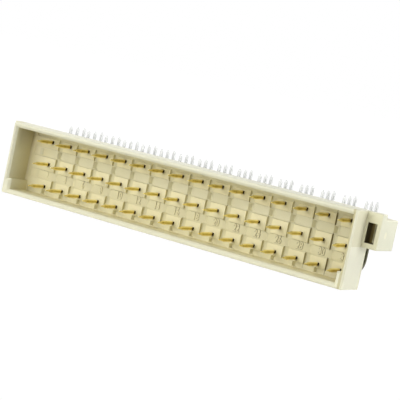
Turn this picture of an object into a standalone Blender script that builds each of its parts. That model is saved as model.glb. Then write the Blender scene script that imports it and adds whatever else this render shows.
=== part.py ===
"""Angled male backplane connector: a moulded housing and 48 bent contacts.

The connector lies on the long wall of its shroud, as on a bench. +X runs along
its length, -Y is the side that the plug comes from, and the solder tails point
up, +Z. The origin is under the middle of the whole part, on the surface.
"""
import math

import bmesh
import bpy
from mathutils import Matrix, Vector

MM = 0.001

# Contact field
PITCH = 5.08 * MM
COLUMNS = 16
TAIL_PITCH = 2.54 * MM
FIELD_OFFSET = 1.27 * MM

# Shroud
SHROUD_MARGIN = 5.5 * MM
SHROUD_HEIGHT = 16.0 * MM
SHROUD_DEPTH = 6.2 * MM
WALL = 1.04 * MM
MOUTH_CHAMFER = 0.5 * MM
KEY_STEP = 0.87 * MM
KEY_HEIGHT = 2.36 * MM
SHROUD_EDGE = 0.25 * MM

# Floor of the shroud
TILE_WIDTH = 3.7 * MM
TILE_REACH = 1.45 * MM
TILE_MARGIN = 0.68 * MM
STRIP_DROP = 0.25 * MM
STRIP_END = 0.3 * MM
SEAM_WIDTH = 0.14 * MM
SEAM_DEPTH = 0.45 * MM
GROOVE_DEPTH = 0.75 * MM
GROOVE_RUN = 0.22 * MM
POCKET_DEPTH = 1.0 * MM
POCKET_WIDTH = 1.35 * MM
POCKET_HEIGHT = 1.5 * MM
EDGE_POCKET_WIDTH = 1.2 * MM
EDGE_POCKET_INSET = 0.12 * MM
POCKET_SKIN = 0.6 * MM

# Base flange and rear block
BOARD_STOP = 0.35 * MM
FLANGE_BACK = 1.2 * MM
FLANGE_INSET = 0.05 * MM
BOARD_DROP = 1.1 * MM
BLOCK_BACK = 4.4 * MM
BLOCK_MARGIN = 2.7 * MM
CORE_WIDTH = 2.4 * MM
CORE_DEPTH = 2.2 * MM
CORE_MARGIN = 1.3 * MM

# Ears
EAR_FRONT = 1.8 * MM
EAR_BACK = 5.7 * MM
EAR_HEIGHT = 6.2 * MM
EAR_EDGE = 0.15 * MM
SCREW_MARGIN = 6.35 * MM
EAR_OUTSIDE = 2.55 * MM
SCREW_BACK = 3.06 * MM
SCREW_DIAMETER = 2.8 * MM
EAR_SKIN = 0.88 * MM
SLOT_WIDTH = 2.0 * MM
SLOT_HEIGHT = 4.1 * MM
SLOT_BACK = 4.5 * MM

# Contacts
BLADE_WIDTH = 0.6 * MM
BLADE_HEIGHT = 0.76 * MM
BLADE_REACH = 5.6 * MM
BLADE_TAPER = 1.7 * MM
BLADE_POINT = 0.35
BLADE_EDGE = 0.12 * MM
SHOULDER = 0.3 * MM
STRIP_HEIGHT = 0.4 * MM
FIRST_TAIL = 5.85 * MM
BEND_RADIUS = 1.2 * MM
BEND_STEPS = 5
TAIL_REACH = 2.3 * MM
TAIL_TAPER = 0.5 * MM
TAIL_POINT = 0.5
CONTACT_CLEARANCE = 0.25 * MM

# How far a cutter runs past the face that it opens
CUT_MARGIN = 1.0 * MM
SCREW_SIDES = 32

# Rows from the board down: name, and steps of pitch above the middle row
ROWS = (("top", 1), ("middle", 0), ("bottom", -1))

# Places that follow from the sizes. Half lengths count from the middle of the
# contact field, Y from the tops of the floor tiles and Z from the middle of the
# shroud. Y and Z are then moved to the part's origin.
FIELD_HALF = PITCH * (COLUMNS - 1) / 2
HALF_LENGTH = FIELD_HALF + SHROUD_MARGIN
BLOCK_HALF = FIELD_HALF + BLOCK_MARGIN
SCREW_X = FIELD_HALF + SCREW_MARGIN
EAR_X = SCREW_X + EAR_OUTSIDE
BACK_OF_TAILS = FIRST_TAIL + TAIL_PITCH * (len(ROWS) - 1) + STRIP_HEIGHT / 2
FLOOR_Y = (SHROUD_DEPTH - BACK_OF_TAILS) / 2
AXIS_Z = SHROUD_HEIGHT / 2
BOARD_Z = SHROUD_HEIGHT - BOARD_DROP
RIM_Y = FLOOR_Y - SHROUD_DEPTH
CAVITY_HALF = HALF_LENGTH - WALL
TILE_EDGE = PITCH + TILE_MARGIN


def column_x(column):
    """Place of a contact column along the housing."""
    return (column - (COLUMNS - 1) / 2) * PITCH + FIELD_OFFSET


def gap_x(column):
    """Place of the gap that follows a contact column."""
    return column_x(column) + PITCH / 2


def new_collection(name):
    """Make a collection in the scene."""
    collection = bpy.data.collections.new(name)
    bpy.context.scene.collection.children.link(collection)
    return collection


def new_material(name, color, roughness, metallic):
    """Make a plain material."""
    material = bpy.data.materials.new(name)
    material.use_nodes = True
    shader = material.node_tree.nodes["Principled BSDF"]
    shader.inputs["Base Color"].default_value = (*color, 1.0)
    shader.inputs["Roughness"].default_value = roughness
    shader.inputs["Metallic"].default_value = metallic
    material.diffuse_color = (*color, 1.0)
    return material


def add_object(name, bm, collection, material=None):
    """Turn a bmesh into a named object."""
    bmesh.ops.recalc_face_normals(bm, faces=bm.faces)
    mesh = bpy.data.meshes.new(name)
    bm.to_mesh(mesh)
    bm.free()
    obj = bpy.data.objects.new(name, mesh)
    collection.objects.link(obj)
    if material:
        mesh.materials.append(material)
    return obj


def add_box(bm, low, high):
    """Add a box whose faces lie exactly on the planes of its two corners."""
    for vert in bmesh.ops.create_cube(bm, size=1.0)["verts"]:
        vert.co = [high[axis] if vert.co[axis] > 0 else low[axis] for axis in range(3)]


def front_face(bm):
    """Find the face that lies furthest towards the plug."""
    return min(bm.faces, key=lambda face: face.calc_center_median().y)


def extrude_face(bm, face):
    """Extrude one face in place and give back the new face."""
    result = bmesh.ops.extrude_face_region(bm, geom=[face])
    if face.is_valid:
        bmesh.ops.delete(bm, geom=[face], context="FACES_ONLY")
    return [item for item in result["geom"] if isinstance(item, bmesh.types.BMFace)][0]


def hide_tool(obj):
    """Mark an object as a tool that shapes another."""
    obj.hide_render = True
    obj.display_type = "WIRE"


def apply_tool(target, tool, operation):
    """Join a tool to the target, or cut it away."""
    hide_tool(tool)
    modifier = target.modifiers.new(f"{operation.lower()} {tool.name}", "BOOLEAN")
    modifier.operation = operation
    modifier.solver = "EXACT"
    modifier.object = tool


def round_edges(bm, is_outside, width, segments):
    """Round the edges of a block that have an end on its outside."""
    edges = [edge for edge in bm.edges if any(is_outside(vert.co) for vert in edge.verts)]
    bmesh.ops.bevel(
        bm, geom=edges, offset=width, segments=segments, profile=0.5, affect="EDGES"
    )


def make_shroud_block(collection, material):
    """The outer block of the shroud, rounded except where the board stops against it."""
    back = FLOOR_Y + BOARD_STOP
    bm = bmesh.new()
    add_box(bm, (-HALF_LENGTH, RIM_Y, 0), (HALF_LENGTH, back, SHROUD_HEIGHT))
    round_edges(bm, lambda place: place.y < FLOOR_Y, SHROUD_EDGE, 2)
    return add_object("housing", bm, collection, material)


def make_flange(tools):
    """The plate behind the shroud, low enough for the board to lie over it."""
    bm = bmesh.new()
    half = HALF_LENGTH - FLANGE_INSET
    overlap = FLOOR_Y + BOARD_STOP - CUT_MARGIN
    add_box(bm, (-half, overlap, 0), (half, FLOOR_Y + FLANGE_BACK, BOARD_Z))
    return add_object("flange_block", bm, tools)


def make_rear_block(tools):
    """The block that grips the contacts, with core slots between the columns."""
    bm = bmesh.new()
    add_box(bm, (-BLOCK_HALF, FLOOR_Y, 0), (BLOCK_HALF, FLOOR_Y + BLOCK_BACK, BOARD_Z))
    return add_object("rear_block", bm, tools)


def make_ear(tools, side):
    """One mounting ear: a block under the board and a lip in front of it."""
    name = "right" if side > 0 else "left"
    low_x, high_x = sorted((side * (BLOCK_HALF - CUT_MARGIN), side * EAR_X))
    front = FLOOR_Y - EAR_FRONT
    bottom = BOARD_Z - EAR_HEIGHT
    blocks = []
    for kind, low_z, back, high_z in (
        ("ear_block", bottom, FLOOR_Y + EAR_BACK, BOARD_Z),
        ("ear_lip", BOARD_Z - CUT_MARGIN, FLOOR_Y + BOARD_STOP, SHROUD_HEIGHT),
    ):
        bm = bmesh.new()
        add_box(bm, (low_x, front, low_z), (high_x, back, high_z))
        round_edges(bm, lambda place: abs(place.x) > HALF_LENGTH, EAR_EDGE, 1)
        blocks.append(add_object(f"{kind}_{name}", bm, tools))
    return blocks


def make_flared_cutter(tools, name, half_x, low_z, high_z):
    """A cutter for the shroud's cavity, flared at the mouth for the plug."""
    bm = bmesh.new()
    add_box(bm, (-half_x, RIM_Y + MOUTH_CHAMFER, low_z), (half_x, FLOOR_Y, high_z))
    mouth = extrude_face(bm, front_face(bm))
    middle = (low_z + high_z) / 2
    for vert in mouth.verts:
        vert.co.x += math.copysign(MOUTH_CHAMFER, vert.co.x)
        vert.co.z += math.copysign(MOUTH_CHAMFER, vert.co.z - middle)
        vert.co.y = RIM_Y
    mouth = extrude_face(bm, mouth)
    bmesh.ops.translate(bm, verts=mouth.verts, vec=(0, -CUT_MARGIN, 0))
    return add_object(name, bm, tools)


def make_cavity_cutters(tools):
    """The upper cavity, and the narrower one between the key steps."""
    ledge_z = WALL + KEY_HEIGHT
    upper = make_flared_cutter(tools, "cavity_cut", CAVITY_HALF, ledge_z, SHROUD_HEIGHT - WALL)
    half = CAVITY_HALF - KEY_STEP
    lower = make_flared_cutter(tools, "key_cut", half, WALL, ledge_z + CUT_MARGIN)
    return upper, lower


def strip_spans():
    """Heights of the bands between and beside the tile rows, bottom to top."""
    floor_low = WALL
    floor_high = SHROUD_HEIGHT - WALL
    inner = PITCH - TILE_REACH
    return (
        (floor_low, AXIS_Z - TILE_EDGE),
        (AXIS_Z - inner, AXIS_Z - TILE_REACH),
        (AXIS_Z + TILE_REACH, AXIS_Z + inner),
        (AXIS_Z + TILE_EDGE, floor_high),
    )


def tile_spans():
    """Heights of the three tile rows, bottom to top."""
    spans = strip_spans()
    return tuple((spans[row][1], spans[row + 1][0]) for row in range(len(ROWS)))


def make_strip_cutter(tools):
    """Shallow bands that leave the tile rows standing."""
    bm = bmesh.new()
    half = CAVITY_HALF - KEY_STEP - STRIP_END
    for low_z, high_z in strip_spans():
        add_box(bm, (-half, FLOOR_Y - CUT_MARGIN, low_z), (half, FLOOR_Y + STRIP_DROP, high_z))
    return add_object("strip_cut", bm, tools)


def make_seam_cutter(tools):
    """Fine seams along the inner edges of the tile rows."""
    bm = bmesh.new()
    half = CAVITY_HALF - KEY_STEP - 2 * STRIP_END
    depth = FLOOR_Y + SEAM_DEPTH
    for low_z, high_z in strip_spans()[1:3]:
        add_box(bm, (-half, FLOOR_Y - CUT_MARGIN, low_z), (half, depth, low_z + SEAM_WIDTH))
        add_box(bm, (-half, FLOOR_Y - CUT_MARGIN, high_z - SEAM_WIDTH), (half, depth, high_z))
    return add_object("seam_cut", bm, tools)


def make_groove_cutter(tools):
    """Grooves that part the tiles of each row, and run a little way into the bands."""
    bm = bmesh.new()
    half = (PITCH - TILE_WIDTH) / 2
    for column in range(COLUMNS - 1):
        x = gap_x(column)
        for low_z, high_z in tile_spans():
            low = (x - half, FLOOR_Y - CUT_MARGIN, low_z - GROOVE_RUN)
            add_box(bm, low, (x + half, FLOOR_Y + GROOVE_DEPTH, high_z + GROOVE_RUN))
    return add_object("groove_cut", bm, tools)


def make_pocket_cutter(tools):
    """Pockets: between the rows at the grooves, and at the long walls by the contacts."""
    bm = bmesh.new()
    bottom, lower, upper, top = strip_spans()
    for low_z, high_z in (lower, upper):
        middle = (low_z + high_z) / 2
        for column in range(-1, COLUMNS - 1):
            x = gap_x(column)
            low = (x - POCKET_WIDTH / 2, FLOOR_Y - CUT_MARGIN, middle - POCKET_HEIGHT / 2)
            high = (x + POCKET_WIDTH / 2, FLOOR_Y + POCKET_DEPTH, middle + POCKET_HEIGHT / 2)
            add_box(bm, low, high)
    for low_z, high_z in (bottom, (top[0], BOARD_Z - POCKET_SKIN)):
        for column in range(COLUMNS):
            x = column_x(column)
            low = (x - EDGE_POCKET_WIDTH / 2, FLOOR_Y - CUT_MARGIN, low_z + EDGE_POCKET_INSET)
            high = (x + EDGE_POCKET_WIDTH / 2, FLOOR_Y + POCKET_DEPTH, high_z - EDGE_POCKET_INSET)
            add_box(bm, low, high)
    return add_object("pocket_cut", bm, tools)


def make_hole_cutter(tools):
    """The contact holes, from the floor through the rear block."""
    bm = bmesh.new()
    half_x = BLADE_WIDTH / 2 + CONTACT_CLEARANCE
    half_z = STRIP_HEIGHT / 2 + CONTACT_CLEARANCE
    back = FLOOR_Y + BLOCK_BACK + CUT_MARGIN
    for column in range(COLUMNS):
        x = column_x(column)
        for _, step in ROWS:
            z = AXIS_Z + step * PITCH
            add_box(bm, (x - half_x, FLOOR_Y - CUT_MARGIN, z - half_z), (x + half_x, back, z + half_z))
    return add_object("hole_cut", bm, tools)


def make_core_cutter(tools):
    """Core slots in the back of the rear block, between the columns."""
    bm = bmesh.new()
    back = FLOOR_Y + BLOCK_BACK
    for column in range(COLUMNS - 1):
        x = gap_x(column)
        low = (x - CORE_WIDTH / 2, back - CORE_DEPTH, CORE_MARGIN)
        add_box(bm, low, (x + CORE_WIDTH / 2, back + CUT_MARGIN, BOARD_Z - CORE_MARGIN))
    return add_object("core_cut", bm, tools)


def make_ear_cutters(tools, side):
    """The slot in an ear's front, and the screw hole down through it."""
    outer = side * (EAR_X - EAR_SKIN)
    inner = outer - side * SLOT_WIDTH
    low_x, high_x = sorted((inner, outer))
    middle = BOARD_Z - EAR_HEIGHT / 2
    name = "right" if side > 0 else "left"
    bm = bmesh.new()
    low = (low_x, FLOOR_Y - EAR_FRONT - CUT_MARGIN, middle - SLOT_HEIGHT / 2)
    add_box(bm, low, (high_x, FLOOR_Y + SLOT_BACK, middle + SLOT_HEIGHT / 2))
    slot = add_object(f"ear_slot_{name}", bm, tools)
    bm = bmesh.new()
    place = Matrix.Translation((side * SCREW_X, FLOOR_Y + SCREW_BACK, middle))
    bmesh.ops.create_cone(
        bm,
        cap_ends=True,
        segments=SCREW_SIDES,
        radius1=SCREW_DIAMETER / 2,
        radius2=SCREW_DIAMETER / 2,
        depth=EAR_HEIGHT + 2 * CUT_MARGIN,
        matrix=place,
    )
    hole = add_object(f"screw_hole_{name}", bm, tools)
    return slot, hole


def make_housing(collection, tools, material):
    """The moulded housing: blocks joined, then opened by the cutters."""
    housing = make_shroud_block(collection, material)
    apply_tool(housing, make_flange(tools), "UNION")
    apply_tool(housing, make_rear_block(tools), "UNION")
    for side in (1, -1):
        for block in make_ear(tools, side):
            apply_tool(housing, block, "UNION")
    for cutter in make_cavity_cutters(tools):
        apply_tool(housing, cutter, "DIFFERENCE")
    for make_cutter in (
        make_strip_cutter,
        make_seam_cutter,
        make_groove_cutter,
        make_pocket_cutter,
        make_hole_cutter,
        make_core_cutter,
    ):
        apply_tool(housing, make_cutter(tools), "DIFFERENCE")
    for side in (1, -1):
        for cutter in make_ear_cutters(tools, side):
            apply_tool(housing, cutter, "DIFFERENCE")
    return housing


def scale_section(face, across, along):
    """Draw a face in towards its own middle, by one factor in X and one in the bend's plane."""
    middle = face.calc_center_median()
    factors = Vector((across, along, along))
    for vert in face.verts:
        vert.co = middle + (vert.co - middle) * factors


def make_contact_mesh(name, step, tail_y, materials):
    """One bent contact, made as its strip is: blade, run, bend and tail."""
    z = AXIS_Z + step * PITCH
    half_x = BLADE_WIDTH / 2
    half_z = BLADE_HEIGHT / 2
    tip_y = FLOOR_Y - BLADE_REACH
    bend_y = tail_y - BEND_RADIUS
    bm = bmesh.new()
    neck_y = FLOOR_Y - SHOULDER
    add_box(bm, (-half_x, tip_y + BLADE_TAPER, z - half_z), (half_x, neck_y, z + half_z))
    along = [edge for edge in bm.edges if edge.verts[0].co.y != edge.verts[1].co.y]
    bmesh.ops.bevel(
        bm, geom=along, offset=BLADE_EDGE, segments=1, profile=0.5, affect="EDGES"
    )
    point = extrude_face(bm, front_face(bm))
    bmesh.ops.translate(bm, verts=point.verts, vec=(0, -BLADE_TAPER, 0))
    scale_section(point, BLADE_POINT, BLADE_POINT)
    end = extrude_face(bm, max(bm.faces, key=lambda face: face.calc_center_median().y))
    bmesh.ops.translate(bm, verts=end.verts, vec=(0, SHOULDER, 0))
    scale_section(end, 1, STRIP_HEIGHT / BLADE_HEIGHT)
    end = extrude_face(bm, end)
    bmesh.ops.translate(bm, verts=end.verts, vec=(0, bend_y - FLOOR_Y, 0))
    turn = Matrix.Rotation(math.radians(90 / BEND_STEPS), 4, "X")
    for _ in range(BEND_STEPS):
        end = extrude_face(bm, end)
        bmesh.ops.rotate(bm, verts=end.verts, cent=(0, bend_y, z + BEND_RADIUS), matrix=turn)
    end = extrude_face(bm, end)
    for vert in end.verts:
        vert.co.z = BOARD_Z + TAIL_REACH - TAIL_TAPER
    end = extrude_face(bm, end)
    bmesh.ops.translate(bm, verts=end.verts, vec=(0, 0, TAIL_TAPER))
    scale_section(end, TAIL_POINT, TAIL_POINT)
    bmesh.ops.recalc_face_normals(bm, faces=bm.faces)
    for face in bm.faces:
        face.material_index = 0 if face.calc_center_median().y < FLOOR_Y else 1
    mesh = bpy.data.meshes.new(name)
    bm.to_mesh(mesh)
    bm.free()
    for material in materials:
        mesh.materials.append(material)
    return mesh


def make_contacts(collection, materials):
    """All the contacts, a column at a time along each row."""
    for row, (row_name, step) in enumerate(ROWS):
        tail_y = FLOOR_Y + FIRST_TAIL + row * TAIL_PITCH
        mesh = make_contact_mesh(f"contact_{row_name}", step, tail_y, materials)
        for column in range(COLUMNS):
            contact = bpy.data.objects.new(f"contact_{row_name}_{2 * column + 2:02d}", mesh)
            contact.location.x = column_x(column)
            collection.objects.link(contact)


def main():
    for obj in list(bpy.data.objects):
        bpy.data.objects.remove(obj, do_unlink=True)
    parts = new_collection("backplane_connector")
    tools = new_collection("cutters")
    plastic = new_material("housing_plastic", (0.78, 0.75, 0.60), 0.45, 0.0)
    gold = new_material("contact_gold", (0.90, 0.66, 0.25), 0.25, 1.0)
    tin = new_material("contact_tin", (0.75, 0.75, 0.73), 0.35, 1.0)
    make_housing(parts, tools, plastic)
    make_contacts(parts, (gold, tin))


main()
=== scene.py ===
"""The backplane connector dressed for its picture.

The moulded housing gets its rounded edges and its raised contact numbers, the
contacts get rounded blades with their platings, and a white table, soft studio
lamps and the photograph's camera stand round them. Lengths are in metres.
"""
import math

import bmesh
import bpy
from mathutils import Euler, Matrix, Vector


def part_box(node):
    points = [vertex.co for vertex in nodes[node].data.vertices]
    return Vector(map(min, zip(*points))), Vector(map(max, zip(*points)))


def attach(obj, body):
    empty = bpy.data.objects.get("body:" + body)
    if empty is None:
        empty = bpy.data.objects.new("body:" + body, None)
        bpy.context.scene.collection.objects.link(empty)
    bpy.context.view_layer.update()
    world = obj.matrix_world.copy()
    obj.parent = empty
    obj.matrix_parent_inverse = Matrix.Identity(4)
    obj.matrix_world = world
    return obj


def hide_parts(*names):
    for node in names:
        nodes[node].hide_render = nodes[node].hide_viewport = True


MM = 0.001

# The contact field and the shroud, as in the source of the solids
PITCH = 5.08 * MM
COLUMNS = 16
ROWS = ("top", "middle", "bottom")
SHROUD_MARGIN = 5.5 * MM
SHROUD_HEIGHT = 16.0 * MM
SHROUD_DEPTH = 6.2 * MM
WALL = 1.04 * MM
MOUTH_CHAMFER = 0.5 * MM
KEY_STEP = 0.87 * MM
TILE_WIDTH = 3.7 * MM
TILE_REACH = 1.45 * MM
STRIP_DROP = 0.25 * MM
SEAM_DEPTH = 0.45 * MM
GROOVE_DEPTH = 0.75 * MM
GROOVE_RUN = 0.22 * MM
POCKET_DEPTH = 1.0 * MM

# Ears, as in the source of the solids
BOARD_DROP = 1.1 * MM
EAR_FRONT = 1.8 * MM
EAR_HEIGHT = 6.2 * MM
EAR_SKIN = 0.88 * MM
SLOT_WIDTH = 2.0 * MM
SLOT_HEIGHT = 4.1 * MM
SLOT_BACK = 4.5 * MM

# Edges of the moulding
WELD = 0.002 * MM
EDGE_ROUND = 0.06 * MM
EDGE_STEPS = 2
FLAT_ANGLE = math.radians(1)
SHARP_ANGLE = math.radians(32)

# Contact holes at the floor: what is left of their width and height, and the
# distance from a hole's middle within which a point belongs to it
HOLE_WIDTH = 0.8
HOLE_HEIGHT = 0.74
HOLE_REACH = 0.6 * MM

# Hollows of the floor: how much their walls lean in, and how much shallower they are
POCKET_SLOPE = 0.75
LOWER_SLOPE = 0.5
UPPER_LIFT = 0.7 * MM
LOWER_LIFT = 0.45 * MM
GROOVE_LIFT = 0.12 * MM
SEAM_LIFT = 0.16 * MM

# Left end of the floor: where its hollows start, and what is left of their depth
LEFT_END = 1.0 * MM
LEFT_END_DEPTH = 0.35

# Oval mark on the side of each ear: its place behind the floor, and its size
MARK_BACK = 1.0 * MM
MARK_SIZE = (0.10 * MM, 1.0 * MM, 1.4 * MM)
MARK_SEGMENTS = 24
MARK_RINGS = 12

# Contacts. The nose and the point are shares of what they grow from. The strip is
# shown thicker than STRIP_HEIGHT, the solid's own, and its bend is wider.
BLADE_WIDTH = 0.6 * MM
BLADE_HEIGHT = 0.76 * MM
BLADE_TAPER = 1.7 * MM
BLADE_NOSE = 1.0 * MM
NOSE_SIZE = 0.5
POINT_SIZE = 0.55
NECK_LENGTH = 0.15 * MM
SHOULDER = 0.3 * MM
STRIP_HEIGHT = 0.4 * MM
STRIP_SHOWN = 0.56 * MM
STRIP_ROUND = 0.1 * MM
STRIP_STEPS = 3
BEND_RADIUS = 2.2 * MM
BEND_STEPS = 9
TIN_LENGTH = 4.6 * MM
TAIL_TAPER = 0.5 * MM
TAIL_POINT = 0.5

# How far a face of the tail has to look sideways to count as a sheared edge, whose tin is
# rougher, and lighter as painted light on the tails' sides
SIDEWAYS = 0.3

# Raised numbers between the middle and bottom rows
NUMBER_SIZE = 1.9 * MM
NUMBER_NARROW = 0.85
NUMBER_TALL = 1.14
NUMBER_SPACING = 0.92
NUMBER_SHIFT = 0.28 * MM
NUMBER_LIFT = 0.03 * MM
NUMBER_RISE = 0.18 * MM
NUMBER_ROOT = 0.05 * MM
NUMBER_CURVE_STEPS = 3
# A dark sheet under each number as its painted shadow: how far it rises and how far it spreads past
# the number
SHADOW_SHEET_RISE = 0.03 * MM
SHADOW_SHEET_SPREAD = 0.07 * MM

# How a finish is made: the share of the speckle in its tones and in its height, and
# the values of the pattern at which the first and the second tone are whole
SPECKLE_IN_TONES = 0.35
SPECKLE_IN_HEIGHT = 0.6
TONE_PLACES = (0.45, 0.9)

# Tints multiply a finish by place on the object. Most deepen it and a few lighten it.
# All of them are painted light and shade, as each group below says. A run gives the
# two places between which a tint grows, first where it is nought, then where it is
# whole.

# The shroud's walls, all painted shade: deeper and yellower towards the floor, darker on
# the left wall and most at its top, at the right end and in the bottom right corner
DEPTH_SHADE_TINT = (1.0, 0.945, 0.78)
LEFT_WALL_SHADE_TINT = (0.84, 0.82, 0.77)
LEFT_WALL_START = 1.0 * MM
LEFT_WALL_STOP = 0.5 * MM
LEFT_TOP_SHADE_TINT = (0.48, 0.45, 0.38)
LEFT_TOP_RUN = (0.5 * MM, 2.0 * MM)
LEFT_TOP_RISE = (1.27 * MM, 8.0 * MM)
RIGHT_END_SHADE_TINT = (0.86, 0.86, 0.85)
RIGHT_END_RUN = (24 * MM, 40 * MM)
RIGHT_END_DEPTH = (-1.0 * MM, -0.5 * MM)
LOW_CORNER_SHADE_TINT = (0.70, 0.66, 0.58)
LOW_CORNER_RUN = (36 * MM, 41.5 * MM)
LOW_CORNER_DEPTH = (0.5 * MM, 2.0 * MM)
LOW_CORNER_RISE = (4.16 * MM, 2.08 * MM)

# The shroud's floor: painted shade on its sunken bands, more on the upper band, on the
# top row's tiles, at the left end and in the last grooves, and painted light on the
# floor under the top wall, which softens that wall's shadow
BAND_SHADE_TINT = (0.90, 0.91, 0.92)
UPPER_BAND_SHADE_TINT = (0.94, 0.95, 0.99)
TOP_ROW_SHADE_TINT = (0.94, 0.93, 0.90)
UNDER_TOP_LIGHT_TINT = (1.13, 1.15, 1.20)
LEFT_FLOOR_SHADE_TINT = (0.86, 0.84, 0.82)
LEFT_FLOOR_RUN = (-36.5 * MM, -41 * MM)
GROOVE_SHADE_TINT = (0.35, 0.32, 0.25)
GROOVE_TINT_RUN = (26 * MM, 37 * MM)
GROOVE_WALL_RUN = (0.1 * MM, 0.05 * MM)

# The rim and the outer faces: painted shade on the mouth chamfers of the end walls and
# on the shroud's ends in front of the ears and as high as they are, and painted light on
# the low rim, on the ends below the ears and on the top wall's outer face, growing
# towards the right
RIGHT_CHAMFER_SHADE_TINT = (0.77, 0.73, 0.57)
RIGHT_CHAMFER_RUN = (0.3 * MM, 0.25 * MM)
LOW_RIM_LIGHT_TINT = (1.08, 1.08, 1.08)
BESIDE_EAR_SHADE_TINT = (0.89, 0.88, 0.84)
BELOW_EAR_LIGHT_TINT = (1.0, 1.01, 1.08)
OUTSIDE_TOP_LIGHT_TINT = (1.04, 1.05, 1.14)
OUTSIDE_TOP_RUN = (-25 * MM, 20 * MM)

# The ears: painted light on their fronts and sides, a painted highlight on the marks,
# and painted shade in the slots, darkest near their mouths
EAR_FRONT_LIGHT_TINT = (1.01, 1.0, 0.92)
EAR_SIDE_LIGHT_TINT = (0.965, 0.985, 1.03)
EAR_MARK_HIGHLIGHT_TINT = (1.10, 1.10, 1.12)
SLOT_SHADE_TINT = (0.62, 0.53, 0.32)
SLOT_MOUTH_SHADE_TINT = (0.17, 0.15, 0.13)
SLOT_MOUTH_RUN = (2.8 * MM, 2.0 * MM)

# The painted shadow round the numbers, deeper towards the right end, and the contacts:
# a painted reflection darkening the middles of the blades, painted shade by the
# contact holes and painted shade on the right of the tails
LAST_NUMBERS_SHADE_TINT = (0.4, 0.38, 0.35)
LAST_NUMBERS_RUN = (5 * MM, 25 * MM)
FLAT_REFLECTION_TINT = (0.62, 0.55, 0.33)
FLAT_RUN = (0.26 * MM, 0.13 * MM)
HOLE_SHADE_TINT = (1.05, 0.76, 0.30)
HOLE_TINT_RUN = (3.0 * MM, 2.0 * MM)
TAIL_SHADE_TINT = (0.90, 0.90, 0.89)
TAIL_RUN = (0.3 * MM, 0.5 * MM)

# The table: its size, how far it lies below the object, its paper, how bright its
# white glows, the share of that white near the object, and the distances from the
# middle between which it grows to the whole
TABLE_SIZE = 8.0
TABLE_GAP = 0.02 * MM
TABLE_PAPER = (0.9, 0.9, 0.9, 1.0)
TABLE_GLOW = 1.03
TABLE_SHARE = 0.95
TABLE_WHITE = (0.08, 0.3)

# The photograph's camera
CAMERA_PLACE = (0.16361, -0.26522, 0.03632)
CAMERA_TURN = math.radians(31.23207)
CAMERA_TILT = math.radians(5.04155)
CAMERA_ROLL = math.radians(12.05629)
CAMERA_LENS = 131.6567
CAMERA_SENSOR = 36.0
CAMERA_NEAREST = 0.01

# Soft lamps: name, degrees round from the front, degrees up, watts
LAMP_SIZE = 0.35
LAMP_DISTANCE = 0.6
LAMPS = (
    ("front lamp", -10, 15, 1.86),
    ("left lamp", -45, 29, 1.35),
    ("high right lamp", 90, 50, 1.0),
    ("right lamp", 104, 10, 2.3),
    ("left rear lamp", -130, 30, 0.5),
    ("rear lamp", 168, 30, 0.9),
)
ROOM_LIGHT = 0.0
WHITE = (1.0, 1.0, 1.0, 1.0)

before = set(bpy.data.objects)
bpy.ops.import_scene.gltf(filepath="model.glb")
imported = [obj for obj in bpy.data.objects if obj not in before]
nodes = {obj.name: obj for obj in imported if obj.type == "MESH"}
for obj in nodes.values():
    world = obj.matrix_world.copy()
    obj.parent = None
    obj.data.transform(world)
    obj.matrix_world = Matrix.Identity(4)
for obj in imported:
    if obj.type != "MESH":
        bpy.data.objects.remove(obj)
bpy.ops.object.select_all(action="DESELECT")
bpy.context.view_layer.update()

# Places that follow from the housing's box and from the sizes. The end walls stand
# at half the shroud's length on either side of the middle.
housing_low, housing_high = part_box("housing")
RIM_Y = housing_low.y
FLOOR_Y = RIM_Y + SHROUD_DEPTH
EAR_END = housing_high.x
EAR_FRONT_Y = FLOOR_Y - EAR_FRONT
SHROUD_HALF = PITCH * (COLUMNS - 1) / 2 + SHROUD_MARGIN
MIDDLE_Z = SHROUD_HEIGHT / 2
BOARD_Z = SHROUD_HEIGHT - BOARD_DROP
EAR_LOW_Z = BOARD_Z - EAR_HEIGHT
SLOT_Z = BOARD_Z - EAR_HEIGHT / 2


def place_node(tree, kind, x, y, **settings):
    """Put a shader node at its place in the tree, with its own settings."""
    node = tree.nodes.new(kind)
    node.location = (x, y)
    for key, value in settings.items():
        setattr(node, key, value)
    return node


def row_middles():
    """The place of the first contact of each row, along the housing and in height."""
    middles = []
    for row in ROWS:
        low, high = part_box(f"contact_{row}_02")
        middles.append(((low.x + high.x) / 2, low.z + BLADE_HEIGHT / 2))
    return middles


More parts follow.
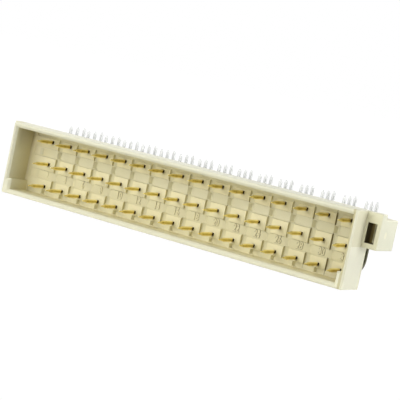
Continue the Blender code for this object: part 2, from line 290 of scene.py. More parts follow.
def make_grain_group():
    """Grain of a surface: a soft cloudiness, a fine speckle and a height to bump."""
    group = bpy.data.node_groups.new("surface grain", "ShaderNodeTree")
    for label, value in (("Cloud Size", 4.0), ("Speckle Size", 0.2), ("Stretch", 1.0)):
        socket = group.interface.new_socket(label, in_out="INPUT", socket_type="NodeSocketFloat")
        socket.default_value = value
    for label in ("Cloud", "Speckle", "Height"):
        group.interface.new_socket(label, in_out="OUTPUT", socket_type="NodeSocketFloat")
    inlet = place_node(group, "NodeGroupInput", -900, 0)
    outlet = place_node(group, "NodeGroupOutput", 500, 0)
    coords = place_node(group, "ShaderNodeTexCoord", -900, 300)
    shape = place_node(group, "ShaderNodeCombineXYZ", -700, 120)
    shape.inputs["X"].default_value = 1.0
    shape.inputs["Z"].default_value = 1.0
    mapping = place_node(group, "ShaderNodeMapping", -500, 300)
    group.links.new(inlet.outputs["Stretch"], shape.inputs["Y"])
    group.links.new(coords.outputs["Object"], mapping.inputs["Vector"])
    group.links.new(shape.outputs["Vector"], mapping.inputs["Scale"])
    noises = []
    for label, y, detail in (("Cloud Size", 300, 3.0), ("Speckle Size", -100, 2.0)):
        scale = place_node(group, "ShaderNodeMath", -500, y - 200, operation="DIVIDE")
        scale.inputs[0].default_value = 1 / MM
        group.links.new(inlet.outputs[label], scale.inputs[1])
        noise = place_node(group, "ShaderNodeTexNoise", -250, y)
        noise.inputs["Detail"].default_value = detail
        group.links.new(mapping.outputs["Vector"], noise.inputs["Vector"])
        group.links.new(scale.outputs["Value"], noise.inputs["Scale"])
        noises.append(noise)
    cloud, speckle = noises
    height = place_node(group, "ShaderNodeMath", 200, -200, operation="MULTIPLY_ADD")
    height.inputs[1].default_value = SPECKLE_IN_HEIGHT
    group.links.new(speckle.outputs["Fac"], height.inputs[0])
    group.links.new(cloud.outputs["Fac"], height.inputs[2])
    group.links.new(cloud.outputs["Fac"], outlet.inputs["Cloud"])
    group.links.new(speckle.outputs["Fac"], outlet.inputs["Speckle"])
    group.links.new(height.outputs["Value"], outlet.inputs["Height"])
    return group


def distance_from(group, value, middle, step, y):
    """How far a coordinate is from a middle, or from the nearest where middles repeat."""
    offset = place_node(group, "ShaderNodeMath", -700, y, operation="SUBTRACT")
    offset.inputs[1].default_value = middle
    group.links.new(value, offset.inputs[0])
    value = offset.outputs["Value"]
    if step is not None:
        turn = place_node(group, "ShaderNodeMath", -500, y, operation="WRAP")
        turn.inputs[1].default_value = -step / 2
        turn.inputs[2].default_value = step / 2
        group.links.new(value, turn.inputs[0])
        value = turn.outputs["Value"]
    size = place_node(group, "ShaderNodeMath", -300, y, operation="ABSOLUTE")
    group.links.new(value, size.inputs[0])
    return size.outputs["Value"]


def fade(axis, nought, one, start=0.0, middle=None, step=None):
    """One limit of a place: where along an axis its share is nought and where it is one.

    Both count from the start. With a middle they are distances to either side of it,
    and with a step that middle repeats along the axis.
    """
    return axis, start + nought, start + one, middle, step


def make_place_group(name, fades):
    """A share that is one at a place on the object and nought away from it.

    It is the product of the place's fades.
    """
    group = bpy.data.node_groups.new(name, "ShaderNodeTree")
    group.interface.new_socket("Share", in_out="OUTPUT", socket_type="NodeSocketFloat")
    outlet = place_node(group, "NodeGroupOutput", 1100, 0)
    coords = place_node(group, "ShaderNodeTexCoord", -1100, 0)
    parts = place_node(group, "ShaderNodeSeparateXYZ", -900, 0)
    group.links.new(coords.outputs["Object"], parts.inputs["Vector"])
    share = None
    for row, (axis, nought, one, middle, step) in enumerate(fades):
        y = -250 * row
        value = parts.outputs[axis]
        if middle is not None:
            value = distance_from(group, value, middle, step, y)
        reach = place_node(group, "ShaderNodeMapRange", -100, y)
        reach.inputs["From Min"].default_value = nought
        reach.inputs["From Max"].default_value = one
        group.links.new(value, reach.inputs["Value"])
        if share is None:
            share = reach.outputs["Result"]
            continue
        both = place_node(group, "ShaderNodeMath", 100 + 200 * row, 0, operation="MULTIPLY")
        group.links.new(share, both.inputs[0])
        group.links.new(reach.outputs["Result"], both.inputs[1])
        share = both.outputs["Value"]
    group.links.new(share, outlet.inputs["Share"])
    return group


def make_finish(name, grain, tones, roughness, metallic, sizes, bump):
    """One finish: two tones clouded together, a roughness that varies and a fine bump.

    The sizes are the cloudiness and the speckle in millimetres, and how much finer the
    pattern is along the blades. The bump is its strength and its height.
    """
    material = bpy.data.materials.new(name)
    material.use_nodes = True
    tree = material.node_tree
    shader = tree.nodes["Principled BSDF"]
    shader.inputs["Metallic"].default_value = metallic
    cloud_size, speckle_size, stretch = sizes
    group = place_node(tree, "ShaderNodeGroup", -900, 0, node_tree=grain)
    group.inputs["Cloud Size"].default_value = cloud_size
    group.inputs["Speckle Size"].default_value = speckle_size
    group.inputs["Stretch"].default_value = stretch
    blend = place_node(tree, "ShaderNodeMath", -650, 250, operation="MULTIPLY_ADD")
    blend.inputs[1].default_value = SPECKLE_IN_TONES
    tree.links.new(group.outputs["Speckle"], blend.inputs[0])
    tree.links.new(group.outputs["Cloud"], blend.inputs[2])
    ramp = place_node(tree, "ShaderNodeValToRGB", -450, 250)
    for element, place, colour in zip(ramp.color_ramp.elements, TONE_PLACES, tones):
        element.position = place
        element.color = (*colour, 1.0)
    tree.links.new(blend.outputs["Value"], ramp.inputs["Fac"])
    tree.links.new(ramp.outputs["Color"], shader.inputs["Base Color"])
    gloss = place_node(tree, "ShaderNodeMapRange", -450, -50)
    gloss.inputs["To Min"].default_value, gloss.inputs["To Max"].default_value = roughness
    tree.links.new(group.outputs["Cloud"], gloss.inputs["Value"])
    tree.links.new(gloss.outputs["Result"], shader.inputs["Roughness"])
    relief = place_node(tree, "ShaderNodeBump", -250, -300)
    relief.inputs["Strength"].default_value, relief.inputs["Distance"].default_value = bump
    tree.links.new(group.outputs["Height"], relief.inputs["Height"])
    tree.links.new(relief.outputs["Normal"], shader.inputs["Normal"])
    return material


def tint(material, places):
    """Multiply a finish by a colour at each of the named places."""
    tree = material.node_tree
    shader = tree.nodes["Principled BSDF"]
    for row, (name, colour, fades) in enumerate(places):
        before = shader.inputs["Base Color"].links[0].from_socket
        where = place_node(tree, "ShaderNodeGroup", -450, 550 + 250 * row)
        where.node_tree = make_place_group(name, fades)
        tone = place_node(tree, "ShaderNodeMix", -200, 450 + 250 * row, data_type="RGBA")
        tone.blend_type = "MULTIPLY"
        tone.inputs["B"].default_value = (*colour, 1.0)
        tree.links.new(where.outputs["Share"], tone.inputs["Factor"])
        tree.links.new(before, tone.inputs["A"])
        tree.links.new(tone.outputs["Result"], shader.inputs["Base Color"])


def inside_shroud():
    """The fades that keep a tint within the shroud's walls and its floor's hollows."""
    behind = FLOOR_Y + POCKET_DEPTH + EDGE_ROUND
    return (
        fade("X", SHROUD_HALF - WALL / 2, SHROUD_HALF - WALL + WELD, middle=0),
        fade("Y", behind + EDGE_ROUND, behind),
        fade("Z", MIDDLE_Z - WALL / 2, MIDDLE_Z - WALL, middle=MIDDLE_Z),
    )


def tint_walls(plastic):
    """Painted shade on the inner walls of the shroud, most at its left and right ends."""
    inside = inside_shroud()
    at_left_wall = fade("X", WALL + KEY_STEP, WALL + EDGE_ROUND, start=-SHROUD_HALF)
    tint(
        plastic,
        (
            (
                "shroud depth",
                DEPTH_SHADE_TINT,
                (fade("Y", RIM_Y + MOUTH_CHAMFER, FLOOR_Y), *inside),
            ),
            (
                "left wall",
                LEFT_WALL_SHADE_TINT,
                (
                    at_left_wall,
                    fade("Y", RIM_Y + LEFT_WALL_START, FLOOR_Y - LEFT_WALL_STOP),
                    *inside,
                ),
            ),
            (
                "left wall top",
                LEFT_TOP_SHADE_TINT,
                (
                    at_left_wall,
                    fade("Y", *LEFT_TOP_RUN, start=RIM_Y),
                    fade("Z", *LEFT_TOP_RISE, start=MIDDLE_Z),
                    *inside,
                ),
            ),
            (
                "right end of the shroud",
                RIGHT_END_SHADE_TINT,
                (
                    fade("Y", *RIGHT_END_DEPTH, start=FLOOR_Y),
                    fade("X", *RIGHT_END_RUN),
                    *inside,
                ),
            ),
            (
                "bottom right corner",
                LOW_CORNER_SHADE_TINT,
                (
                    fade("Y", *LOW_CORNER_DEPTH, start=RIM_Y),
                    fade("X", *LOW_CORNER_RUN),
                    fade("Z", *LOW_CORNER_RISE),
                    *inside,
                ),
            ),
        ),
    )


def tint_floor(plastic):
    """Painted shade and light on the shroud's floor: its bands, its tiles and the grooves at its
    right end.
    """
    inside = inside_shroud()
    first_x, top_z = row_middles()[0]
    edge_x = first_x + TILE_WIDTH / 2
    last_edge_x = edge_x + PITCH * (COLUMNS - 1)
    band_half = PITCH / 2 - TILE_REACH
    in_bands = fade("Y", EDGE_ROUND, STRIP_DROP, start=FLOOR_Y)
    on_floor = fade("Y", -EDGE_ROUND, 0, start=FLOOR_Y)
    tint(
        plastic,
        (
            ("shroud bands", BAND_SHADE_TINT, (in_bands, *inside)),
            (
                "upper band",
                UPPER_BAND_SHADE_TINT,
                (
                    in_bands,
                    fade("Z", band_half + EDGE_ROUND, band_half, middle=MIDDLE_Z + PITCH / 2),
                    *inside,
                ),
            ),
            (
                "tiles of the top row",
                TOP_ROW_SHADE_TINT,
                (
                    on_floor,
                    fade("Z", TILE_REACH / 2, 0, start=top_z),
                    fade("Z", 2 * TILE_REACH, TILE_REACH, middle=top_z),
                    *inside,
                ),
            ),
            (
                "floor under the top wall",
                UNDER_TOP_LIGHT_TINT,
                (on_floor, fade("Z", TILE_REACH / 4, TILE_REACH, start=top_z), *inside),
            ),
            (
                "left end of the floor",
                LEFT_FLOOR_SHADE_TINT,
                (
                    on_floor,
                    fade("X", *LEFT_FLOOR_RUN),
                    fade("Z", -PITCH / 2, PITCH, start=MIDDLE_Z),
                    *inside,
                ),
            ),
            (
                "last grooves",
                GROOVE_SHADE_TINT,
                (
                    fade("Y", 0, STRIP_DROP / 2, start=FLOOR_Y),
                    fade("X", *GROOVE_WALL_RUN, middle=edge_x, step=PITCH),
                    fade("X", *GROOVE_TINT_RUN),
                    fade("X", -PITCH / 4, -PITCH / 2, start=last_edge_x),
                    fade("Z", 2 * GROOVE_RUN, GROOVE_RUN, TILE_REACH, middle=top_z, step=PITCH),
                    *inside,
                ),
            ),
        ),
    )


def tint_outside(plastic):
    """Painted light and shade on the rim, on the shroud's ends and on the top wall's outer face."""
    on_ends = fade("X", SHROUD_HALF - EDGE_ROUND, SHROUD_HALF - WELD, middle=0)
    tint(
        plastic,
        (
            (
                "right chamfer",
                RIGHT_CHAMFER_SHADE_TINT,
                (
                    fade("X", *RIGHT_CHAMFER_RUN, middle=SHROUD_HALF - WALL + MOUTH_CHAMFER / 2),
                    fade("Y", WALL, MOUTH_CHAMFER, start=RIM_Y),
                ),
            ),
            (
                "low rim",
                LOW_RIM_LIGHT_TINT,
                (
                    fade("Y", 2 * MOUTH_CHAMFER, MOUTH_CHAMFER, start=RIM_Y),
                    fade("Z", 2 * WALL, WALL),
                ),
            ),
            (
                "shroud ends beside the ears",
                BESIDE_EAR_SHADE_TINT,
                (
                    on_ends,
                    fade("Y", 0, -EDGE_ROUND, start=EAR_FRONT_Y),
                    fade("Z", -EDGE_ROUND, 0, start=EAR_LOW_Z),
                ),
            ),
            (
                "shroud ends below the ears",
                BELOW_EAR_LIGHT_TINT,
                (on_ends, fade("Z", 0, -EDGE_ROUND, start=EAR_LOW_Z)),
            ),
            (
                "outside of the top wall",
                OUTSIDE_TOP_LIGHT_TINT,
                (
                    fade("Z", SHROUD_HEIGHT - EDGE_ROUND, SHROUD_HEIGHT - WELD),
                    fade("X", *OUTSIDE_TOP_RUN),
                    fade("Y", 0, -EDGE_ROUND, start=FLOOR_Y),
                ),
            ),
        ),
    )


def tint_ears(plastic):
    """Tones of the ears: painted light on their fronts and their sides, a painted highlight on the
    marks, and painted shade in their slots.
    """
    outer_x = EAR_END - EAR_SKIN
    inner_x = outer_x - SLOT_WIDTH
    in_slot = (
        fade("Y", 0, EDGE_ROUND, start=EAR_FRONT_Y),
        fade("Y", 4 * EDGE_ROUND, EDGE_ROUND, start=FLOOR_Y + SLOT_BACK),
        fade("X", inner_x - EDGE_ROUND, inner_x - WELD, middle=0),
        fade("X", outer_x + EDGE_ROUND, outer_x + WELD, middle=0),
        fade("Z", EDGE_ROUND, WELD, SLOT_HEIGHT / 2, middle=SLOT_Z),
    )
    tint(
        plastic,
        (
            (
                "ear fronts",
                EAR_FRONT_LIGHT_TINT,
                (
                    fade("X", SHROUD_HALF, SHROUD_HALF + EDGE_ROUND, middle=0),
                    fade("Y", EDGE_ROUND, WELD, middle=EAR_FRONT_Y),
                ),
            ),
            (
                "ear sides",
                EAR_SIDE_LIGHT_TINT,
                (
                    fade("X", -EDGE_ROUND, -WELD, EAR_END, middle=0),
                    fade("X", 2 * WELD, WELD, EAR_END, middle=0),
                ),
            ),
            ("ear marks", EAR_MARK_HIGHLIGHT_TINT, (fade("X", WELD, 2 * WELD, EAR_END, middle=0),)),
            ("ear slots", SLOT_SHADE_TINT, in_slot),
            (
                "ear slot mouths",
                SLOT_MOUTH_SHADE_TINT,
                (*in_slot, fade("Y", *SLOT_MOUTH_RUN, start=EAR_FRONT_Y)),
            ),
        ),
    )


def make_plastic(grain):
    """The moulded cream plastic, with painted light and shade by place."""
    plastic = make_finish(
        "cream plastic",
        grain,
        tones=((0.74, 0.72, 0.535), (0.78, 0.76, 0.57)),
        roughness=(0.42, 0.55),
        metallic=0.0,
        sizes=(5.0, 0.22, 1.0),
        bump=(0.12, 0.02 * MM),
    )
    tint_walls(plastic)
    tint_floor(plastic)
    tint_outside(plastic)
    tint_ears(plastic)
    return plastic


def make_shade(grain):
    """The painted shadow round the raised numbers: a dark finish, deeper towards the right end."""
    shade = make_finish(
        "painted shadow round the numbers",
        grain,
        tones=((0.34, 0.30, 0.17), (0.42, 0.37, 0.22)),
        roughness=(0.5, 0.6),
        metallic=0.0,
        sizes=(1.0, 0.2, 1.0),
        bump=(0.1, 0.01 * MM),
    )
    tint(shade, (("last numbers", LAST_NUMBERS_SHADE_TINT, (fade("X", *LAST_NUMBERS_RUN),)),))
    return shade


def make_metals(grain):
    """The finishes of a contact: gold with a painted reflection on its middles, alloy made
    near-black as painted shade, tin with painted shade on the right of the tails, and the tin's
    sheared edges, lighter as painted light.
    """
    first_x, top_z = row_middles()[0]
    tip_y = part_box("contact_top_02")[0].y
    gold = make_finish(
        "gold plating",
        grain,
        tones=((0.97, 0.82, 0.35), (1.0, 0.90, 0.45)),
        roughness=(0.16, 0.30),
        metallic=1.0,
        sizes=(1.2, 0.12, 0.25),
        bump=(0.10, 0.01 * MM),
    )
    # The middles of the blades are darkened as a painted reflection of the shroud's dim inside;
    # their upper and lower edges and their points keep the bright gold.
    on_flats = (
        fade("Z", *FLAT_RUN, middle=top_z, step=PITCH),
        fade("Y", BLADE_NOSE, BLADE_TAPER, start=tip_y),
    )
    tint(gold, (("blade flats", FLAT_REFLECTION_TINT, on_flats),))
    # The run is made near-black as painted shade in the contact holes and round the bends behind the
    # housing, and browner in the holes by the floor.
    alloy = make_finish(
        "alloy in painted shade",
        grain,
        tones=((0.085, 0.083, 0.052), (0.14, 0.136, 0.092)),
        roughness=(0.40, 0.55),
        metallic=1.0,
        sizes=(1.5, 0.15, 0.5),
        bump=(0.12, 0.01 * MM),
    )
    tint(alloy, (("contact holes", HOLE_SHADE_TINT, (fade("Y", *HOLE_TINT_RUN, start=FLOOR_Y),)),))
    tin = make_finish(
        "tin plating",
        grain,
        tones=((0.40, 0.405, 0.40), (0.46, 0.465, 0.46)),
        roughness=(0.50, 0.62),
        metallic=1.0,
        sizes=(1.5, 0.15, 1.0),
        bump=(0.12, 0.01 * MM),
    )
    # Painted shade on the right of each tail.
    on_right = fade("X", *TAIL_RUN, middle=first_x - BLADE_WIDTH / 2, step=PITCH)
    tint(tin, (("right of the tails", TAIL_SHADE_TINT, (on_right,)),))
    # The sides of the tails: a rougher tin, as sheared edges are, and lighter as painted light on
    # the tails' sides.
    sheared = make_finish(
        "sheared tin edge in painted light",
        grain,
        tones=((0.50, 0.505, 0.495), (0.60, 0.605, 0.595)),
        roughness=(0.55, 0.68),
        metallic=1.0,
        sizes=(1.0, 0.12, 3.0),
        bump=(0.15, 0.01 * MM),
    )
    return gold, alloy, tin, sheared


def activate(obj):
    """Select one object alone and make it the active one."""
    bpy.ops.object.select_all(action="DESELECT")
    obj.select_set(True)
    bpy.context.view_layer.objects.active = obj


def open_for_editing(obj):
    """Open the mesh of one object, with faces to select."""
    activate(obj)
    bpy.ops.object.mode_set(mode="EDIT")
    bpy.ops.mesh.select_mode(type="FACE")


def select_face(obj, key):
    """Select the one face for which the key is greatest."""
    mesh = bmesh.from_edit_mesh(obj.data)
    for face in mesh.faces:
        face.select_set(False)
    max(mesh.faces, key=key).select_set(True)
    bmesh.update_edit_mesh(obj.data)


def extrude(move, scale=(1, 1, 1)):
    """Extrude the selected face by a move, then draw it in about its middle."""
    bpy.ops.mesh.extrude_region_move(TRANSFORM_OT_translate={"value": move})
    if scale != (1, 1, 1):
        bpy.ops.transform.resize(value=scale)


def add_modifier(obj, kind, **settings):
    """Add a modifier and apply it."""
    modifier = obj.modifiers.new(kind.lower(), kind)
    for key, value in settings.items():
        setattr(modifier, key, value)
    activate(obj)
    bpy.ops.object.modifier_apply(modifier=modifier.name)


def weld(obj):
    """Join the points that lie on one another, and drop the faces left without area."""
    open_for_editing(obj)
    bpy.ops.mesh.select_all(action="SELECT")
    bpy.ops.mesh.remove_doubles(threshold=WELD)
    bpy.ops.mesh.dissolve_degenerate(threshold=WELD)
    bpy.ops.mesh.normals_make_consistent(inside=False)
    bpy.ops.object.mode_set(mode="OBJECT")


def smooth(obj):
    """Shade the rounded edges smooth and keep the flats flat."""
    activate(obj)
    bpy.ops.object.shade_smooth_by_angle(angle=SHARP_ANGLE)


def place_piece(obj, material_slot, *replaced):
    """Hang a finished piece on the frame in place of the nodes that it stands for."""
    if replaced:
        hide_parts(*replaced)
    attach(obj, "root")


def narrow_holes(housing):
    """Draw the mouth of each contact hole in towards its strip."""
    middles = row_middles()
    for vert in housing.data.vertices:
        if abs(vert.co.y - FLOOR_Y) > WELD:
            continue
        for first_x, z in middles:
            column = round((vert.co.x - first_x) / PITCH)
            across = vert.co.x - first_x - column * PITCH
            if abs(across) < HOLE_REACH and abs(vert.co.z - z) < HOLE_REACH:
                vert.co.x -= across * (1 - HOLE_WIDTH)
                vert.co.z -= (vert.co.z - z) * (1 - HOLE_HEIGHT)


def soften_pockets(housing):
    """Slope the pockets' walls, and make the floor's hollows shallower."""
    first_x = row_middles()[0][0]
    for vert in housing.data.vertices:
        height = vert.co.z - MIDDLE_Z
        depth = vert.co.y - FLOOR_Y
        if abs(depth - SEAM_DEPTH) < WELD and abs(height) > PITCH / 2:
            vert.co.y -= SEAM_LIFT
        if abs(depth - GROOVE_DEPTH) < WELD:
            vert.co.y -= GROOVE_LIFT
        if abs(depth - POCKET_DEPTH) > WELD:
            continue
        if height > PITCH:
            vert.co.y -= UPPER_LIFT
            continue
        if -PITCH < height < 0:
            vert.co.y -= LOWER_LIFT
        by_lower_wall = height < -PITCH
        middle_x = first_x if by_lower_wall else first_x + PITCH / 2
        across = vert.co.x - middle_x - PITCH * round((vert.co.x - middle_x) / PITCH)
        vert.co.x -= across * (LOWER_SLOPE if by_lower_wall else POCKET_SLOPE)


def fade_left_end(housing):
    """Let the hollows between the rows run out towards the left wall."""
    left = WALL - SHROUD_HALF
    right = row_middles()[0][0] - LEFT_END
    for vert in housing.data.vertices:
        depth = vert.co.y - FLOOR_Y
        at_left_end = left < vert.co.x < right and abs(vert.co.z - MIDDLE_Z) < PITCH
        if at_left_end and WELD < depth < POCKET_DEPTH + WELD:
            vert.co.y = FLOOR_Y + depth * LEFT_END_DEPTH


def mould_housing(plastic):
    """The housing, with softer hollows and the small rounding that a mould leaves on edges."""
    housing = bpy.data.objects.new("moulded_housing", nodes["housing"].data.copy())
    bpy.context.scene.collection.objects.link(housing)
    housing.data.materials.clear()
    housing.data.materials.append(plastic)
    open_for_editing(housing)
    bpy.ops.mesh.select_all(action="SELECT")
    bpy.ops.mesh.remove_doubles(threshold=WELD)
    bpy.ops.mesh.dissolve_limited(angle_limit=FLAT_ANGLE)
    bpy.ops.object.mode_set(mode="OBJECT")
    narrow_holes(housing)
    soften_pockets(housing)
    fade_left_end(housing)
    add_modifier(
        housing,
        "BEVEL",
        width=EDGE_ROUND,
        segments=EDGE_STEPS,
        limit_method="ANGLE",
        angle_limit=SHARP_ANGLE,
        use_clamp_overlap=True,
    )
    weld(housing)
    smooth(housing)
    place_piece(housing, "housing_plastic", "housing")


def draw_tail(x, axis_z, high):
    """Draw the strip back to its bend, round it and up to its point.

    It gives back the height at which the tin starts.
    """
    bend_y = high.y - STRIP_HEIGHT / 2 - BEND_RADIUS
    bend_z = axis_z + BEND_RADIUS
    tin_z = max(high.z - TIN_LENGTH, bend_z)
    extrude((0, bend_y - FLOOR_Y, 0))
    bpy.ops.mesh.spin(
        steps=BEND_STEPS,
        angle=math.radians(90),
        center=(x, bend_y, bend_z),
        axis=(-1, 0, 0),
    )
    if tin_z > bend_z:
        extrude((0, 0, tin_z - bend_z))
    extrude((0, 0, high.z - TAIL_TAPER - tin_z))
    extrude((0, 0, TAIL_TAPER), (TAIL_POINT, TAIL_POINT, 1))
    return tin_z


def plate_contact(contact, blade_end, tin_z):
    """Give the blade its gold, the run its alloy in painted shade, and the tail its tin."""
    gold, alloy, tin, sheared = range(4)
    for face in contact.data.polygons:
        finish = gold
        if face.center.y > blade_end:
            finish = alloy
        if face.center.y > FLOOR_Y and face.center.z > tin_z:
            finish = sheared if abs(face.normal.x) > SIDEWAYS else tin
        face.material_index = finish


def bend_contact(row, finishes):
    """One contact of a row: a tapered blade, the run, the bend and the tail."""
    low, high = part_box(f"contact_{row}_02")
    x = (low.x + high.x) / 2
    axis_z = low.z + BLADE_HEIGHT / 2
    blade_start = low.y + BLADE_TAPER
    blade_end = FLOOR_Y - SHOULDER - NECK_LENGTH
    bpy.ops.mesh.primitive_cube_add(
        size=1,
        location=(x, (blade_start + blade_end) / 2, axis_z),
        scale=(BLADE_WIDTH, blade_end - blade_start, BLADE_HEIGHT),
    )
    contact = bpy.context.active_object
    contact.name = f"plated_contact_{row}_02"
    bpy.ops.object.transform_apply(location=True, rotation=True, scale=True)
    open_for_editing(contact)
    select_face(contact, lambda face: -face.calc_center_median().y)
    extrude((0, BLADE_NOSE - BLADE_TAPER, 0), (NOSE_SIZE, 1, NOSE_SIZE))
    extrude((0, -BLADE_NOSE, 0), (POINT_SIZE, 1, POINT_SIZE))
    select_face(contact, lambda face: face.calc_center_median().y)
    extrude((0, NECK_LENGTH, 0))
    extrude((0, SHOULDER, 0), (1, 1, STRIP_SHOWN / BLADE_HEIGHT))
    tin_z = draw_tail(x, axis_z, high)
    bpy.ops.mesh.select_all(action="SELECT")
    bpy.ops.mesh.remove_doubles(threshold=WELD)
    bpy.ops.mesh.normals_make_consistent(inside=False)
    bpy.ops.object.mode_set(mode="OBJECT")
    for finish in finishes:
        contact.data.materials.append(finish)
    add_modifier(
        contact,
        "BEVEL",
        width=STRIP_ROUND,
        segments=STRIP_STEPS,
        limit_method="ANGLE",
        angle_limit=SHARP_ANGLE,
    )
    weld(contact)
    plate_contact(contact, blade_end, tin_z)
    smooth(contact)
    return contact


def place_contacts(finishes):
    """All the contacts: each row's shape is made once and copied along it."""
    for row in ROWS:
        first = bend_contact(row, finishes)
        place_piece(first, "contact_metal", f"contact_{row}_02")
        for column in range(1, COLUMNS):
            number = f"{2 * column + 2:02d}"
            mesh = first.data.copy()
            mesh.transform(Matrix.Translation((column * PITCH, 0, 0)))
            contact = bpy.data.objects.new(f"plated_contact_{row}_{number}", mesh)
            bpy.context.scene.collection.objects.link(contact)
            place_piece(contact, "contact_metal", f"contact_{row}_{number}")


def press_ear_marks(plastic):
    """The small oval mark that stands a little proud of each ear's side."""
    marks = []
    for x in (housing_low.x, housing_high.x):
        bpy.ops.mesh.primitive_uv_sphere_add(
            segments=MARK_SEGMENTS,
            ring_count=MARK_RINGS,
            radius=0.5,
            location=(x, FLOOR_Y + MARK_BACK, SLOT_Z),
            scale=MARK_SIZE,
        )
        bpy.ops.object.transform_apply(location=True, rotation=True, scale=True)
        marks.append(bpy.context.active_object)
    place_piece(join_pieces(marks, "ear_marks", plastic), "housing_plastic")


def write_number(text, x, z, back_y, rise, spread):
    """One number as a mesh that stands up from a plane that faces the plug."""
    bpy.ops.object.text_add(location=(0, 0, 0))
    number = bpy.context.active_object
    number.data.body = text
    number.data.size = NUMBER_SIZE
    number.data.align_x = "CENTER"
    number.data.align_y = "CENTER"
    number.data.space_character = NUMBER_SPACING
    number.data.offset = spread
    number.data.extrude = rise / 2
    number.data.resolution_u = NUMBER_CURVE_STEPS
    bpy.ops.object.convert(target="MESH")
    turn = Euler((math.radians(90), 0, 0)).to_matrix().to_4x4()
    shape = Matrix.Diagonal((NUMBER_NARROW, NUMBER_TALL, 1, 1))
    number.data.transform(Matrix.Translation((x, back_y - rise / 2, z)) @ turn @ shape)
    return number


def join_pieces(pieces, name, material):
    """Join pieces into one, welded, with one material."""
    bpy.ops.object.select_all(action="DESELECT")
    for piece in pieces:
        piece.select_set(True)
    bpy.context.view_layer.objects.active = pieces[0]
    bpy.ops.object.join()
    pieces[0].name = name
    pieces[0].data.materials.clear()
    pieces[0].data.materials.append(material)
    weld(pieces[0])
    return pieces[0]


def raise_numbers(plastic, shade):
    """The contact numbers, raised between the middle and bottom rows, each on a dark sheet a little
    wider than itself as a painted shadow round it.
    """
    first_x = row_middles()[0][0] + NUMBER_SHIFT
    z = row_middles()[1][1] - PITCH / 2 + NUMBER_LIFT
    back_y = FLOOR_Y + STRIP_DROP + NUMBER_ROOT
    numbers = []
    shadow_sheets = []
    for column in range(COLUMNS):
        text = str(2 * column + 2)
        x = first_x + column * PITCH
        numbers.append(write_number(text, x, z, back_y, NUMBER_ROOT + NUMBER_RISE, 0))
        shadow_sheets.append(write_number(text, x, z, back_y, NUMBER_ROOT + SHADOW_SHEET_RISE, SHADOW_SHEET_SPREAD))
    place_piece(join_pieces(numbers, "contact_numbers", plastic), "housing_plastic")
    place_piece(join_pieces(shadow_sheets, "number_shadow_sheets", shade), "housing_plastic")


def set_camera():
    """The camera at the photograph's place, turn, tilt and roll."""
    camera = bpy.data.objects.new("camera", bpy.data.cameras.new("camera"))
    bpy.context.scene.collection.objects.link(camera)
    camera.data.lens = CAMERA_LENS
    camera.data.sensor_width = CAMERA_SENSOR
    camera.data.clip_start = CAMERA_NEAREST
    turn = Matrix.Rotation(CAMERA_TURN, 4, "Z")
    tilt = Matrix.Rotation(math.radians(90) - CAMERA_TILT, 4, "X")
    roll = Matrix.Rotation(CAMERA_ROLL, 4, "Z")
    camera.matrix_world = Matrix.Translation(CAMERA_PLACE) @ turn @ tilt @ roll
    bpy.context.scene.camera = camera


def seen_or_mirrored(tree):
    """One for what the camera sees directly or in a shiny surface, zero for light on matter."""
    rays = place_node(tree, "ShaderNodeLightPath", -800, 300)
    either = place_node(tree, "ShaderNodeMath", -600, 300, operation="MAXIMUM")
    tree.links.new(rays.outputs["Is Camera Ray"], either.inputs[0])
    tree.links.new(rays.outputs["Is Glossy Ray"], either.inputs[1])
    return either.outputs["Value"]


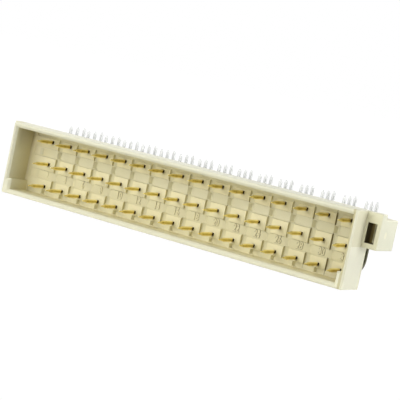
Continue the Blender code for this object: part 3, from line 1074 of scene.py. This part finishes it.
def lay_table():
    """A white table that shows as plain white, with a trace of the object's shadow."""
    bpy.ops.mesh.primitive_plane_add(size=TABLE_SIZE, location=(0, 0, -TABLE_GAP))
    table = bpy.context.active_object
    table.name = "table"
    bpy.ops.object.transform_apply(location=True, rotation=True, scale=True)
    material = bpy.data.materials.new("white table")
    material.use_nodes = True
    tree = material.node_tree
    tree.nodes.clear()
    coords = place_node(tree, "ShaderNodeTexCoord", -1200, 0)
    distance = place_node(tree, "ShaderNodeVectorMath", -1000, 0, operation="LENGTH")
    reach = place_node(tree, "ShaderNodeMapRange", -800, 0)
    reach.inputs["From Min"].default_value, reach.inputs["From Max"].default_value = TABLE_WHITE
    reach.inputs["To Min"].default_value = TABLE_SHARE
    tree.links.new(coords.outputs["Object"], distance.inputs[0])
    tree.links.new(distance.outputs["Value"], reach.inputs["Value"])
    share = place_node(tree, "ShaderNodeMath", -400, 300, operation="MULTIPLY")
    tree.links.new(reach.outputs["Result"], share.inputs[1])
    paper = place_node(tree, "ShaderNodeBsdfDiffuse", -400, 0)
    paper.inputs["Color"].default_value = TABLE_PAPER
    glow = place_node(tree, "ShaderNodeEmission", -400, -200)
    glow.inputs["Strength"].default_value = TABLE_GLOW
    mixed = place_node(tree, "ShaderNodeMixShader", -150, 0)
    outlet = place_node(tree, "ShaderNodeOutputMaterial", 50, 0)
    tree.links.new(seen_or_mirrored(tree), share.inputs[0])
    tree.links.new(share.outputs["Value"], mixed.inputs["Fac"])
    tree.links.new(paper.outputs["BSDF"], mixed.inputs[1])
    tree.links.new(glow.outputs["Emission"], mixed.inputs[2])
    tree.links.new(mixed.outputs["Shader"], outlet.inputs["Surface"])
    table.data.materials.append(material)


def hang_lamp(name, turn, height, power):
    """A soft square lamp, so many degrees round from the front and up, that faces the object."""
    lamp = bpy.data.lights.new(name, "AREA")
    lamp.shape = "SQUARE"
    lamp.size = LAMP_SIZE
    lamp.energy = power
    holder = bpy.data.objects.new(name, lamp)
    bpy.context.scene.collection.objects.link(holder)
    way = Euler((-math.radians(height), 0, math.radians(turn))).to_matrix() @ Vector((0, -1, 0))
    holder.location = way * LAMP_DISTANCE
    holder.rotation_euler = (-way).to_track_quat("-Z", "Y").to_euler()


def light_studio():
    """Lamps round the object, in a room that is white to the camera and in shiny surfaces.

    The room's own light on matter is ROOM_LIGHT, which leaves the light to the lamps.
    """
    world = bpy.data.worlds.new("studio")
    bpy.context.scene.world = world
    world.use_nodes = True
    tree = world.node_tree
    tree.nodes.clear()
    room = place_node(tree, "ShaderNodeBackground", -300, 0)
    room.inputs["Color"].default_value = WHITE
    room.inputs["Strength"].default_value = ROOM_LIGHT
    white = place_node(tree, "ShaderNodeBackground", -300, -200)
    white.inputs["Color"].default_value = WHITE
    mixed = place_node(tree, "ShaderNodeMixShader", -50, 0)
    outlet = place_node(tree, "ShaderNodeOutputWorld", 150, 0)
    tree.links.new(seen_or_mirrored(tree), mixed.inputs["Fac"])
    tree.links.new(room.outputs["Background"], mixed.inputs[1])
    tree.links.new(white.outputs["Background"], mixed.inputs[2])
    tree.links.new(mixed.outputs["Shader"], outlet.inputs["Surface"])
    for name, turn, height, power in LAMPS:
        hang_lamp(name, turn, height, power)


grain = make_grain_group()
plastic = make_plastic(grain)
mould_housing(plastic)
place_contacts(make_metals(grain))
raise_numbers(plastic, make_shade(grain))
press_ear_marks(plastic)
set_camera()
lay_table()
light_studio()
bpy.context.scene.view_settings.view_transform = "Standard"
